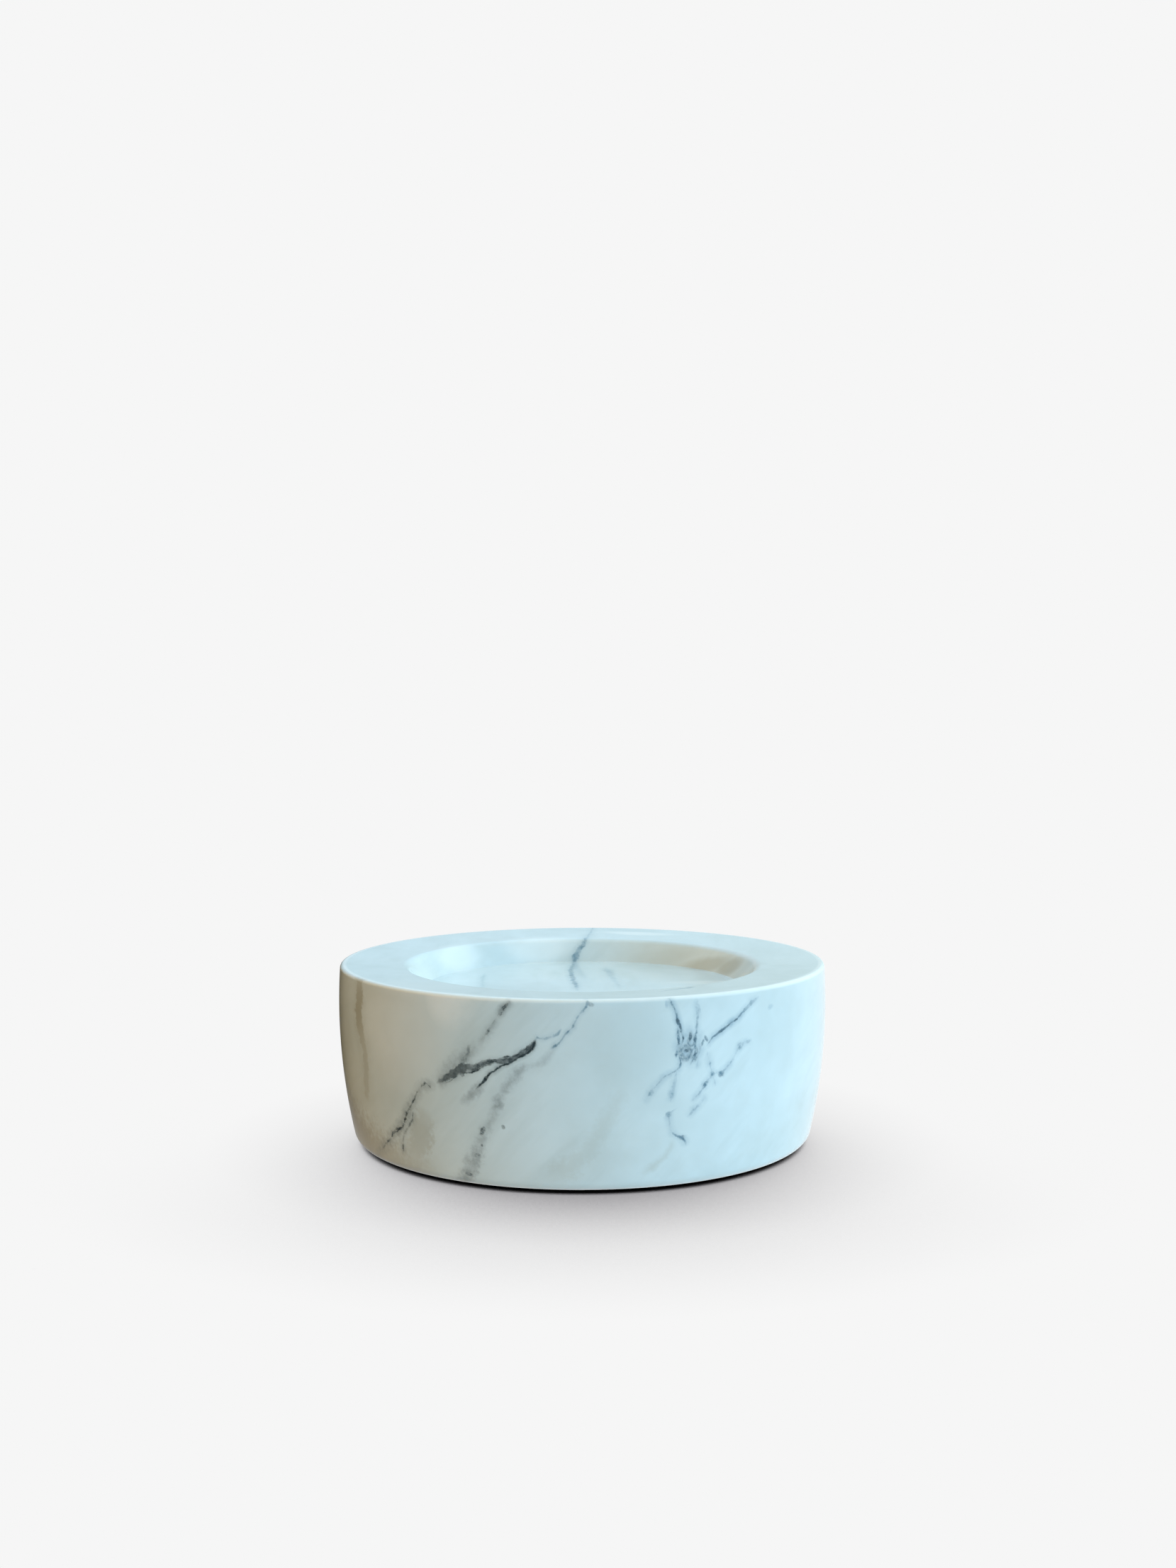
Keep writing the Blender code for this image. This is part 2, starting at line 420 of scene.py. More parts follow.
PHOTO_VEINS = (
    Vein("broad", (
        (757, 1466, 0.1, 0), (755, 1471, 0.6, 1), (750, 1477, 1, 1), (744, 1481, 1.2, 1),
        (736, 1486, 0.9, 1), (729, 1490, 0.7, 1), (723, 1494, 0.8, 1), (716, 1496, 1.2, 1),
        (708, 1498, 1.2, 1), (702, 1498, 0.7, 1), (697, 1497, 0.5, 1), (689, 1499, 0.8, 0.95),
        (681, 1501, 1, 0.9), (674, 1505, 1.1, 0.9), (667, 1508, 1, 0.8), (661, 1510, 0.8, 0.5),
        (655, 1512, 0.5, 0),
    ), fill=0.7, edge=0.45, haze=0.35, speckle=0.25),
    Vein("broad_patch", (
        (671, 1500, 0.5, 0), (665, 1504, 1.2, 0.7), (658, 1505, 1.8, 0.95), (650, 1508, 2.1, 1),
        (640, 1514, 1.8, 1), (632, 1519, 1.6, 1), (626, 1523, 1.3, 0.95), (620, 1526, 0.9, 0.8),
        (614, 1529, 0.4, 0),
    ), fill=0.38, soft=0.9, haze=0.5, haze_width=4.5, speckle=0.1),
    Vein("broad_under", (
        (757, 1466, 0.1, 0), (755, 1470, 0.4, 1), (751, 1479, 0.5, 1), (745, 1485, 0.5, 1),
        (737, 1489, 0.5, 1), (729, 1493, 0.5, 1), (723, 1497, 0.6, 1), (716, 1501, 0.6, 1),
        (708, 1503, 0.45, 1), (702, 1507, 0.4, 1), (697, 1511, 0.35, 1), (693, 1513, 0.35, 1),
        (688, 1517, 0.5, 1), (685, 1522, 0.7, 1), (681, 1527, 0.7, 1), (677, 1531, 0.5, 0.95),
        (672, 1536, 0.4, 0.5), (668, 1541, 0.3, 0),
    ), soft=0.35, haze=0.45, haze_width=2.2, speckle=0.15),
    Vein("patch_under", (
        (700, 1497, 0.2, 0), (696, 1498, 0.3, 0.7), (689, 1502, 0.3, 0.8), (681, 1505, 0.3, 0.8),
        (674, 1509, 0.4, 0.9), (665, 1513, 0.4, 0.8), (655, 1513, 0.3, 0.7), (647, 1516, 0.4, 0.8),
        (640, 1521, 0.4, 0.8), (634, 1526, 0.3, 0.6), (626, 1529, 0.3, 0.4), (620, 1531, 0.2, 0),
    ), soft=0.35, haze=0, speckle=0.4),
    Vein("broad_over", (
        (750, 1471, 0.2, 0), (748, 1473, 0.3, 0.9), (743, 1478, 0.3, 1), (737, 1482, 0.3, 1),
        (731, 1487, 0.35, 1), (723, 1491, 0.4, 1), (716, 1491, 0.4, 1), (708, 1493, 0.35, 0.9),
        (702, 1495, 0.35, 0.9), (697, 1495, 0.3, 0.9), (689, 1496, 0.3, 0.7), (680, 1497, 0.3, 0.6),
        (674, 1500, 0.3, 0.4), (668, 1504, 0.2, 0),
    ), soft=0.35, haze=0),
    Vein("knot", (
        (666, 1470, 0.6, 0), (661, 1478, 1, 0.5), (660, 1486, 1, 0.7), (656, 1493, 1.1, 0.7),
        (653, 1499, 1.3, 0.5), (650, 1504, 0.8, 0),
    ), fill=0.25, soft=0.9, haze=0.55, haze_width=4),
    Vein("broad_smoke", (
        (680, 1467, 1, 0), (670, 1478, 1.6, 0.3), (658, 1489, 2.6, 0.45), (644, 1500, 2.6, 0.45),
        (630, 1512, 2.2, 0.4), (618, 1522, 1.4, 0.25), (606, 1531, 1, 0),
    ), **SMOKE, soft=2.8),
    Vein("left_thread", (
        (722, 1410, 0.3, 0), (719, 1414, 0.4, 0.7), (714, 1419, 0.6, 0.9), (710, 1422, 0.9, 1),
        (706, 1429, 0.7, 0.9), (701, 1435, 0.5, 0.35), (693, 1447, 0.5, 0.3), (689, 1454, 0.7, 0.6),
        (683, 1462, 0.5, 0.3), (677, 1470, 0.4, 0.2), (671, 1479, 0.3, 0),
    ), depth=9, fill=0.6, soft=0.5, haze=0.5, haze_width=2.8, speckle=0.75),
    Vein("left_smoke", (
        (708, 1428, 0.8, 0), (700, 1440, 1.1, 0.3), (690, 1454, 1.3, 0.38), (681, 1466, 1.3, 0.33),
        (674, 1476, 1.1, 0.2), (668, 1484, 1, 0),
    ), **SMOKE, soft=1.8),
    Vein("tail", (
        (612, 1538, 0.3, 0), (608, 1535, 0.5, 0.75), (605, 1529, 0.5, 0.75), (600, 1526, 0.5, 0.7),
        (595, 1532, 0.4, 0.6), (591, 1538, 0.3, 0.2), (587, 1542, 0.4, 0.85), (585, 1550, 0.5, 0.85),
        (581, 1557, 0.5, 0.8), (579, 1563, 0.4, 0.6), (574, 1571, 0.7, 0.95), (570, 1584, 0.6, 0.95),
        (568, 1590, 0.5, 0.6), (561, 1593, 0.9, 0.95), (556, 1598, 0.7, 0.85), (551, 1606, 0.5, 0.55),
        (545, 1614, 0.6, 0.75), (540, 1620, 0.3, 0.3), (535, 1627, 0.3, 0),
    ), fill=0.75, soft=0.5, speckle=0.75),
    Vein("tail_smoke", (
        (616, 1527, 1, 0), (606, 1529, 1.8, 0.42), (594, 1534, 1.6, 0.38), (586, 1548, 1.6, 0.35),
        (578, 1565, 2.2, 0.45), (571, 1583, 2.4, 0.5), (561, 1596, 2.2, 0.45), (549, 1611, 2, 0.4),
        (538, 1622, 1.6, 0.3), (528, 1632, 1, 0),
    ), fill=0, soft=2.2, haze=0, speckle=0.4),
    Vein("tail_spur", (
        (584, 1564, 0.3, 0), (583, 1570, 0.4, 0.55), (582, 1581, 0.6, 0.8), (576, 1590, 0.4, 0.35),
        (570, 1598, 0.6, 0.65), (569, 1610, 0.4, 0.5), (569, 1620, 0.7, 0.85), (568, 1628, 0.3, 0),
    ), fill=0.6, soft=0.5, haze=0.4, speckle=0.6),
    Vein("under_smoke", (
        (692, 1515, 0.8, 0), (683, 1527, 1.3, 0.4), (674, 1537, 1.7, 0.5), (665, 1545, 1.7, 0.5),
        (657, 1552, 1.4, 0.35), (649, 1559, 1, 0),
    ), **SMOKE, soft=1.5),
    Vein("dotted_smoke", (
        (762, 1497, 0.6, 0), (752, 1502, 1, 0.3), (740, 1504, 1.5, 0.4), (731, 1511, 2, 0.45),
        (725, 1519, 1.9, 0.45), (718, 1528, 1.7, 0.42), (712, 1537, 1.6, 0.42), (706, 1546, 1.6, 0.45),
        (702, 1557, 1.9, 0.6), (698, 1567, 1.5, 0.4), (693, 1580, 1.5, 0.3), (684, 1595, 1.9, 0.42),
        (678, 1612, 2.2, 0.35), (671, 1632, 2.8, 0.45), (662, 1654, 2.8, 0.5), (654, 1668, 2, 0),
    ), fill=0, soft=1.9, haze=0.25, haze_width=6, speckle=0.4),
    Vein("middle_thread", (
        (831, 1409, 0.3, 0), (829, 1413, 0.5, 0.6), (826, 1420, 0.5, 0.8), (822, 1426, 0.45, 0.75),
        (817, 1431, 0.35, 0.5), (813, 1437, 0.35, 0.65), (809, 1448, 0.4, 0.8), (805, 1452, 0.3, 0.5),
        (802, 1456, 0.45, 0.8), (797, 1461, 0.3, 0.4), (792, 1468, 0.35, 0.55), (786, 1473, 0.4, 0.7),
        (782, 1476, 0.5, 0.8), (776, 1481, 0.3, 0),
    ), kind="slate", depth=9, fill=0.5, haze=0.35, haze_width=2.2, speckle=0.4),
    Vein("middle_link", (
        (793, 1451, 0.3, 0), (790, 1454, 0.5, 0.45), (786, 1459, 0.6, 0.5), (780, 1461, 0.5, 0.45),
        (774, 1464, 0.4, 0.3), (768, 1466, 0.5, 0.45), (762, 1466, 0.4, 0.3), (758, 1464, 0.5, 0.55),
        (753, 1468, 0.3, 0),
    ), kind="slate", fill=0.3, haze_width=2.2, speckle=0.7),
    Vein("middle_smoke", (
        (788, 1471, 0.6, 0), (778, 1486, 0.9, 0.25), (768, 1497, 1.2, 0.32), (757, 1503, 1, 0.25),
        (747, 1508, 0.8, 0),
    ), **SMOKE, soft=1.5),
    Vein("right_thread", (
        (942, 1405, 0.3, 0), (944, 1408, 0.4, 0.5), (947, 1413, 0.45, 0.9), (952, 1425, 0.45, 0.9),
        (955, 1435, 0.5, 0.95), (957, 1443, 0.65, 1), (960, 1449, 0.55, 0.95), (962, 1457, 0.5, 0.85),
        (964, 1465, 0.5, 0.8), (962, 1472, 0.5, 0.8), (959, 1479, 0.45, 0.7), (956, 1486, 0.3, 0),
    ), kind="slate", depth=9, fill=0.6, soft=0.45, haze=0.5, haze_width=2.6, speckle=0.45),
    Vein("right_strand", (
        (956, 1447, 0.3, 0), (956, 1453, 0.6, 0.8), (957, 1461, 0.6, 0.9), (958, 1471, 0.6, 0.85),
        (956, 1481, 0.6, 0.8), (954, 1488, 0.6, 0.85), (953, 1494, 0.3, 0),
    ), kind="slate", fill=0.5, soft=0.5, haze=0.45, haze_width=2.4, speckle=0.6),
    Vein("right_fork", (
        (957, 1482, 0.3, 0), (959, 1491, 0.4, 0.9), (960, 1500, 0.45, 1), (958, 1506, 0.35, 0.7),
        (952, 1511, 0.4, 0.75), (943, 1516, 0.35, 0.6), (937, 1519, 0.35, 0.55), (930, 1527, 0.4, 0.55),
        (923, 1534, 0.4, 0.55), (917, 1542, 0.6, 0.7), (914, 1547, 0.4, 0.5), (911, 1552, 0.3, 0.4),
        (907, 1558, 0.2, 0),
    ), **THREAD, fill=0.45, soft=0.55),
    Vein("plumb_thread", (
        (982, 1408, 0.8, 0), (982, 1414, 1, 0.25), (984, 1424, 0.9, 0.4), (984, 1435, 0.6, 0.5),
        (983, 1446, 0.5, 0.6), (982, 1456, 0.5, 0.7), (980, 1467, 0.7, 0.9), (980, 1476, 0.6, 0.7),
        (981, 1485, 0.8, 0.85), (980, 1492, 0.6, 0.8), (976, 1498, 0.6, 0.7), (973, 1504, 0.3, 0),
    ), kind="slate", fill=0.5, soft=0.55, haze=0.5, haze_width=2.6, speckle=0.6),
    Vein("plumb_side", (
        (988, 1473, 0.3, 0), (987, 1479, 0.4, 0.5), (987, 1486, 0.45, 0.5), (985, 1495, 0.4, 0.3),
        (983, 1503, 0.5, 0.5), (982, 1510, 0.3, 0),
    ), **THREAD, fill=0.15, soft=0.55),
    Vein("right_branch", (
        (1072, 1405, 0.5, 0), (1066, 1409, 0.7, 0.35), (1060, 1414, 0.8, 0.5), (1050, 1425, 0.6, 0.6),
        (1040, 1437, 0.45, 0.95), (1032, 1443, 0.4, 1), (1024, 1449, 0.4, 1), (1017, 1455, 0.6, 1),
        (1012, 1458, 0.55, 0.85), (1006, 1462, 0.4, 0.8), (1002, 1467, 0.4, 0.75), (999, 1472, 0.3, 0.5),
        (996, 1478, 0.2, 0),
    ), kind="slate", depth=12, fill=0.6, haze=0.5, haze_width=2.6, speckle=0.3),
    Vein("right_beads", (
        (1061, 1466, 0.4, 0), (1055, 1469, 0.8, 0.5), (1049, 1471, 0.7, 0.45), (1044, 1475, 1.2, 0.8),
        (1041, 1481, 0.7, 0.35), (1036, 1490, 0.4, 0.15), (1031, 1499, 0.7, 0.55), (1025, 1507, 0.5, 0.4),
        (1021, 1511, 0.6, 0.5), (1017, 1515, 1.1, 0.95), (1013, 1514, 0.8, 0.6), (1009, 1514, 0.5, 0.3),
        (1005, 1515, 0.7, 0.8), (1001, 1521, 0.5, 0.4), (994, 1531, 0.8, 0.8), (990, 1537, 0.4, 0.5),
        (985, 1544, 0.5, 0.6), (978, 1551, 0.4, 0.4), (973, 1557, 0.2, 0),
    ), **THREAD, fill=0.35, soft=0.6),
    Vein("right_beads_low", (
        (997, 1541, 0.3, 0), (995, 1548, 0.4, 0.3), (987, 1558, 0.5, 0.35), (982, 1562, 0.5, 0.5),
        (979, 1565, 0.7, 0.75), (973, 1572, 0.5, 0.35), (969, 1577, 0.3, 0),
    ), **THREAD, fill=0.2, soft=0.6),
    Vein("right_link", (
        (998, 1481, 0.3, 0), (998, 1488, 0.4, 0.3), (1000, 1495, 0.4, 0.35), (1002, 1500, 0.6, 0.65),
        (1002, 1506, 0.4, 0.35), (1004, 1512, 0.5, 0.5), (1007, 1522, 0.4, 0.25), (1008, 1528, 0.5, 0.3),
        (1009, 1534, 0.3, 0),
    ), **THREAD, fill=0.2, soft=0.55),
    Vein("right_stem", (
        (955, 1508, 0.3, 0), (953, 1513, 0.5, 0.5), (952, 1525, 0.8, 0.35), (950, 1536, 0.7, 0.35),
        (948, 1543, 0.9, 0.6), (946, 1550, 0.5, 0.35), (945, 1557, 0.3, 0),
    ), **THREAD, fill=0.1, soft=0.6),
    Vein("right_hook", (
        (952, 1564, 0.3, 0), (949, 1567, 0.5, 0.35), (943, 1572, 0.8, 0.8), (944, 1578, 0.5, 0.5),
        (945, 1584, 0.4, 0.3), (945, 1591, 0.4, 0.4), (947, 1596, 0.4, 0.55), (952, 1601, 0.5, 0.65),
        (957, 1603, 0.6, 0.65), (962, 1605, 0.8, 0.95), (965, 1609, 0.5, 0.7), (967, 1612, 0.4, 0.5),
        (969, 1618, 0.2, 0),
    ), **THREAD, fill=0.35, soft=0.55),
    Vein("recess_thread", (
        (839, 1307, 0.4, 0), (835, 1312, 0.5, 0.5), (829, 1322, 0.7, 0.45), (824, 1330, 1, 0.65),
        (819, 1337, 1.4, 0.8), (815, 1342, 1, 0.6), (812, 1348, 1.4, 0.85), (809, 1358, 0.6, 0.4),
        (805, 1369, 1.1, 0.8), (807, 1378, 1.1, 0.8), (810, 1385, 1.1, 0.8), (813, 1392, 1, 0.7),
        (815, 1399, 0.5, 0),
    ), kind="slate", plunge="down", depth=60, fill=0.3, soft=0.9, haze=0.4, haze_width=3.6, speckle=0.3),
    Vein("recess_spot", (
        (684, 1372, 0.5, 0), (682, 1377, 1, 0.5), (680, 1384, 0.9, 0.4), (681, 1390, 0.9, 0.4),
        (680, 1395, 0.4, 0),
    ), kind="slate", plunge="down", depth=16, fill=0.05, soft=1, haze=0.4, haze_width=3.5, speckle=0.3),
    Vein("recess_blot", (
        (853, 1363, 0.8, 0), (858, 1370, 2, 0.5), (862, 1376, 1.4, 0.35), (867, 1383, 1.1, 0.3),
        (873, 1391, 0.9, 0.25), (876, 1397, 0.4, 0),
    ), kind="slate", plunge="down", depth=16, fill=0, soft=1.3, haze=0.35, haze_width=4.5, speckle=0.2),
    Vein("lip_streak", (
        (926, 1399, 0.3, 0), (936, 1398, 0.4, 0.4), (948, 1396, 0.5, 0.5), (958, 1395, 0.6, 0.7),
        (968, 1394, 0.8, 0.9), (976, 1393, 0.7, 0.8), (983, 1392, 0.3, 0),
    ), kind="slate", plunge="down", depth=10, fill=0.2, soft=0.7, haze_width=2.5, speckle=0.3),
    Vein("tan_upright", (
        (509, 1376, 1.5, 0), (508, 1383, 2.6, 0.45), (507, 1400, 3.2, 0.65), (506, 1425, 3.6, 0.75),
        (507, 1445, 3.2, 0.65), (510, 1462, 2.6, 0.5), (514, 1480, 2.2, 0.4), (516, 1500, 2.2, 0.45),
        (517, 1522, 2.4, 0.4), (518, 1546, 2.2, 0.35), (520, 1556, 1, 0),
    ), **STAIN, depth=6, soft=1.2, haze=0.4, haze_width=9),
    Vein("tan_cap", (
        (496, 1383, 2, 0), (508, 1388, 2.5, 0.15), (525, 1396, 3, 0.12), (550, 1406, 3, 0.08),
        (580, 1414, 2, 0.1), (606, 1419, 1.5, 0),
    ), **STAIN, depth=6, soft=4.5, haze=0),
    Vein("tan_blot", (
        (602, 1563, 2, 0), (600, 1574, 4, 0.25), (597, 1590, 5, 0.4), (594, 1605, 5.5, 0.42),
        (588, 1620, 5, 0.38), (582, 1633, 4, 0.3), (577, 1645, 3, 0.2), (573, 1656, 2, 0),
    ), **STAIN, soft=2.2, haze=0.15, haze_width=11),
    # Painted shade: a tan-grey darkening low on the left of the wall, where it turns under towards the
    # paper
    Vein("painted_foot_shade", (
        (484, 1500, 4, 0), (490, 1540, 7, 0.3), (500, 1580, 9, 0.6), (520, 1612, 9, 0.75),
        (560, 1640, 8, 0.55), (620, 1660, 6, 0.3), (670, 1668, 4, 0),
    ), **STAIN, depth=16, soft=7, haze=0),
    Vein("tan_streak", (
        (886, 1520, 2, 0), (877, 1543, 2.5, 0.16), (857, 1581, 3, 0.22), (831, 1625, 3.5, 0.24),
        (793, 1653, 4.5, 0.26), (770, 1670, 3, 0),
    ), **STAIN, soft=3.5, haze=0.15, haze_width=10),
    Vein("tan_fork", (
        (952, 1606, 0.6, 0), (948, 1615, 0.8, 0.25), (938, 1632, 1, 0.28), (918, 1648, 1.4, 0.28),
        (903, 1658, 0.8, 0),
    ), **STAIN, soft=1.6, haze=0.15, haze_width=4),
)

# Rings and grains beside the veins, greyer places in the clear ground, tan painted shade in the recess,
# and paler painted highlights
SPOTS = (
    Spot(972, 1476, 6.5, 7.5, 0, 0.42, "slate"),
    Spot(967, 1485, 2.5, 2.7, -8, 0.6, "slate"),
    Spot(967, 1485, 2.1, 2.4, -8, 0.75, "slate", ring=0.7, fill=0.45),
    Spot(970, 1481, 1.6, 0.9, 20, 0.9, "slate", fill=0.65),
    Spot(963, 1490, 0.8, 1.5, 15, 0.8, "slate", fill=0.45),
    Spot(974, 1463, 0.8, 1.9, -8, 0.9, "slate", fill=0.6),
    Spot(976, 1468, 1.5, 1.8, -10, 0.7, "slate", ring=0.6, fill=0.4),
    Spot(980, 1486, 1.2, 2.0, 5, 0.7, "slate", ring=0.7, fill=0.4),
    Spot(991, 1471, 0.6, 1.5, -25, 0.7, "slate", fill=0.4),
    Spot(996, 1465, 0.6, 1.4, 30, 0.7, "slate", fill=0.45),
    Spot(987, 1479, 0.7, 1.8, 5, 0.5, "slate", fill=0.2),
    Spot(1017, 1515, 1.5, 1.2, 0, 0.7, "slate", fill=0.35),
    Spot(1044, 1475, 1.6, 1.3, 20, 0.5, "slate", fill=0.15),
    Spot(1005, 1515, 1.0, 1.0, 0, 0.6, "slate", fill=0.2),
    Spot(993, 1531, 1.2, 1.2, 0, 0.5, "slate", fill=0.15),
    Spot(918, 1542, 1.2, 1.3, 0, 0.5, "slate", fill=0.15),
    Spot(962, 1605, 1.2, 0.9, 20, 0.7, "slate", fill=0.4),
    Spot(943, 1572, 1.2, 1.2, 0, 0.6, "slate", fill=0.25),
    Spot(947, 1544, 1.6, 2.0, 0, 0.4, "slate"),
    Spot(941, 1416, 0.8, 1.6, 0, 0.3, "slate"),
    Spot(1087, 1420, 1.6, 1.1, 10, 0.3, "slate"),
    Spot(681, 1595, 0.9, 2.1, -30, 0.9, "grey", fill=0.7),
    Spot(680, 1616, 0.6, 0.6, 0, 0.6, "grey", fill=0.7),
    Spot(674, 1630, 1.3, 1.0, 10, 0.7, "grey", fill=0.7),
    Spot(662, 1656, 1.5, 0.8, -10, 0.8, "grey", fill=0.7),
    Spot(710, 1590, 0.7, 0.9, 0, 0.5, "grey", fill=0.7),
    Spot(702, 1557, 1.8, 1.5, 0, 0.4, "grey", fill=0.3),
    Spot(832, 1416, 1.5, 0.8, -15, 0.45, "grey", fill=0.5),
    # Painted shade: the recess wall at the back right, tan and darker towards the recess floor
    Spot(935, 1350, 18, 4.0, 8, 0.12, "tan"),
    Spot(1000, 1361, 15, 4.0, 14, 0.45, "tan"),
    Spot(1030, 1364, 10, 4.5, 18, 0.55, "tan"),
    Spot(885, 1475, 22, 20, 20, 0.7, "cloud"),
    Spot(830, 1560, 16, 14, 0, 0.35, "cloud"),
    Spot(1120, 1372, 12, 8, 0, 0.5, "cloud"),
    Spot(1030, 1393, 10, 4, 0, 0.4, "cloud"),
    # Painted highlights: the recess wall and lip on the left, the back rim, the left of the wall, the
    # recess floor by the front lip, and the front arris
    Spot(760, 1338, 16, 8, 0, 0.8, "clear"),
    Spot(645, 1350, 14, 8, 0, 0.7, "clear"),
    Spot(900, 1317, 16, 4, 0, 0.9, "clear"),
    Spot(562, 1445, 24, 28, 10, 0.45, "clear"),
    Spot(1000, 1386, 16, 5.0, -4, 0.5, "clear"),
    Spot(640, 1402, 14, 3, 8, 0.9, "clear"),
)

# Veins on the sides that the photograph can't show, in the manner of those in front
HIDDEN_VEINS = (
    Vein("back_main", (
        (104, 60, 0.2, 0), (108, 59, 0.5, 0.6), (113, 56, 0.8, 0.9), (118, 52, 1.2, 1), (124, 47, 1.6, 1),
        (130, 43, 1.9, 0.95), (136, 38, 1.5, 0.9), (142, 34, 1, 0.8), (147, 29, 0.6, 0.7),
        (152, 23, 0.5, 0.6), (156, 16, 0.6, 0.6), (160, 9, 0.4, 0.4), (163, 4, 0.2, 0),
    ), fill=0.55, edge=0.4, haze=0.35, haze_width=4, speckle=0.35),
    Vein("back_smoke", (
        (126, 53, 1, 0), (133, 47, 2.4, 0.4), (141, 40, 2.8, 0.45), (149, 31, 2.4, 0.4),
        (157, 21, 1.8, 0.3), (164, 12, 1, 0),
    ), **SMOKE, soft=2.8),
    Vein("back_lower", (
        (127, 42, 0.3, 0), (129, 36, 0.4, 0.8), (132, 29, 0.5, 0.9), (134, 22, 0.3, 0.5),
        (138, 15, 0.5, 0.6), (141, 8, 0.3, 0),
    ), fill=0.8, haze=0.4, speckle=0.6),
    Vein("back_spur", (
        (122, 51, 0.3, 0), (127, 54, 0.4, 0.7), (133, 57, 0.5, 0.8), (139, 58, 0.4, 0.5),
        (145, 61, 0.4, 0.5), (149, 64, 0.3, 0),
    ), kind="slate", depth=14, fill=0.4, haze=0.4, speckle=0.55),
    Vein("back_thread", (
        (182, 69, 0.4, 0), (180, 62, 0.6, 0.6), (179, 52, 0.5, 0.8), (176, 42, 0.7, 0.8),
        (175, 33, 0.4, 0.6), (171, 24, 0.6, 0.7), (168, 15, 0.5, 0.5), (166, 8, 0.3, 0),
    ), kind="slate", depth=9, fill=0.45, haze=0.45),
    Vein("right_side", (
        (97, 52, 0.3, 0), (100, 45, 0.4, 0.4), (103, 38, 0.5, 0.6), (105, 32, 0.3, 0.4),
        (108, 25, 0.5, 0.6), (112, 17, 0.4, 0.4), (114, 9, 0.3, 0),
    ), kind="slate", depth=9, fill=0.3, haze=0.45, speckle=0.6),
    Vein("left_back", (
        (243, 69, 0.3, 0), (240, 64, 0.4, 0.6), (238, 57, 0.4, 0.5), (234, 50, 0.6, 0.9),
        (231, 44, 0.5, 0.6), (228, 37, 0.4, 0.5), (224, 31, 0.6, 0.8), (220, 24, 0.4, 0.6),
        (217, 16, 0.4, 0.5), (215, 9, 0.3, 0),
    ), kind="slate", depth=12, fill=0.55, haze=0.45),
    Vein("left_back_fork", (
        (233, 47, 0.3, 0), (226, 48, 0.4, 0.6), (219, 49, 0.4, 0.6), (211, 52, 0.5, 0.8),
        (204, 56, 0.4, 0.5), (198, 61, 0.3, 0),
    ), kind="slate", depth=18, fill=0.4, haze=0.4, speckle=0.55),
    Vein("left_back_smoke", (
        (237, 53, 1, 0), (229, 42, 1.8, 0.35), (222, 30, 2.2, 0.4), (215, 18, 2, 0.35), (208, 8, 1, 0),
    ), **SMOKE, soft=2.4),
    Vein("side_stain", (
        (263, 6, 2, 0), (259, 18, 3, 0.35), (255, 32, 3.5, 0.4), (252, 46, 3, 0.35), (250, 58, 2, 0.25),
        (248, 68, 1, 0),
    ), **STAIN, depth=9, soft=2.5, haze_width=9),
)


def pixel_ray(camera, across, up):
    """The direction in which the camera sees a pixel of the photograph."""
    focal = camera.data.lens / SENSOR * PHOTO_HEIGHT
    x = (across - PHOTO_WIDTH / 2) / focal
    y = (PHOTO_HEIGHT / 2 - up) / focal
    return camera.matrix_world.to_3x3() @ Vector((x, y, -1))


def traced(stone, camera, vein):
    """The vein's trace as points on the stone, where the camera sees its pixels. Past the edge of
    the stone a point is left out."""
    eye = camera.matrix_world.translation
    found = []
    for across, up, half_width, cover in vein.trace:
        hit, place, _normal, _face = stone.ray_cast(eye, pixel_ray(camera, across, up))
        if hit:
            found.append((place, half_width, cover))
    return found


def round_the_wall(sizes, vein):
    """The vein's trace as points on the wall, from degrees round the tray and heights."""
    found = []
    for degrees, millimetres, half_width, cover in vein.trace:
        height = millimetres * MM
        fall = height - sizes.base - sizes.belly
        radius = sizes.diameter / 2 - sizes.wall_arc + math.sqrt(sizes.wall_arc**2 - fall**2)
        angle = math.radians(degrees)
        place = Vector((radius * math.sin(angle), -radius * math.cos(angle), height))
        found.append((place, half_width, cover))
    return found


def sheet_axes(places, plunge):
    """Unit vectors of a vein's sheet: along the trace, across it and into the stone."""
    middle = places[len(places) // 2]
    inward = Vector((-middle.x, -middle.y, 0)).normalized()
    if plunge == "down":
        inward = Vector((0, 0, -1))
    span = places[-1] - places[0]
    along = (span - inward * span.dot(inward)).normalized()
    return along, inward.cross(along), inward


def set_curve(curve, points):
    """Gives one curve of a curve node straight runs through those points."""
    for spare in range(len(curve.points), len(points)):
        curve.points.new(spare, 0)
    for knot, place in zip(curve.points, points):
        knot.location = place
        knot.handle_type = "VECTOR"


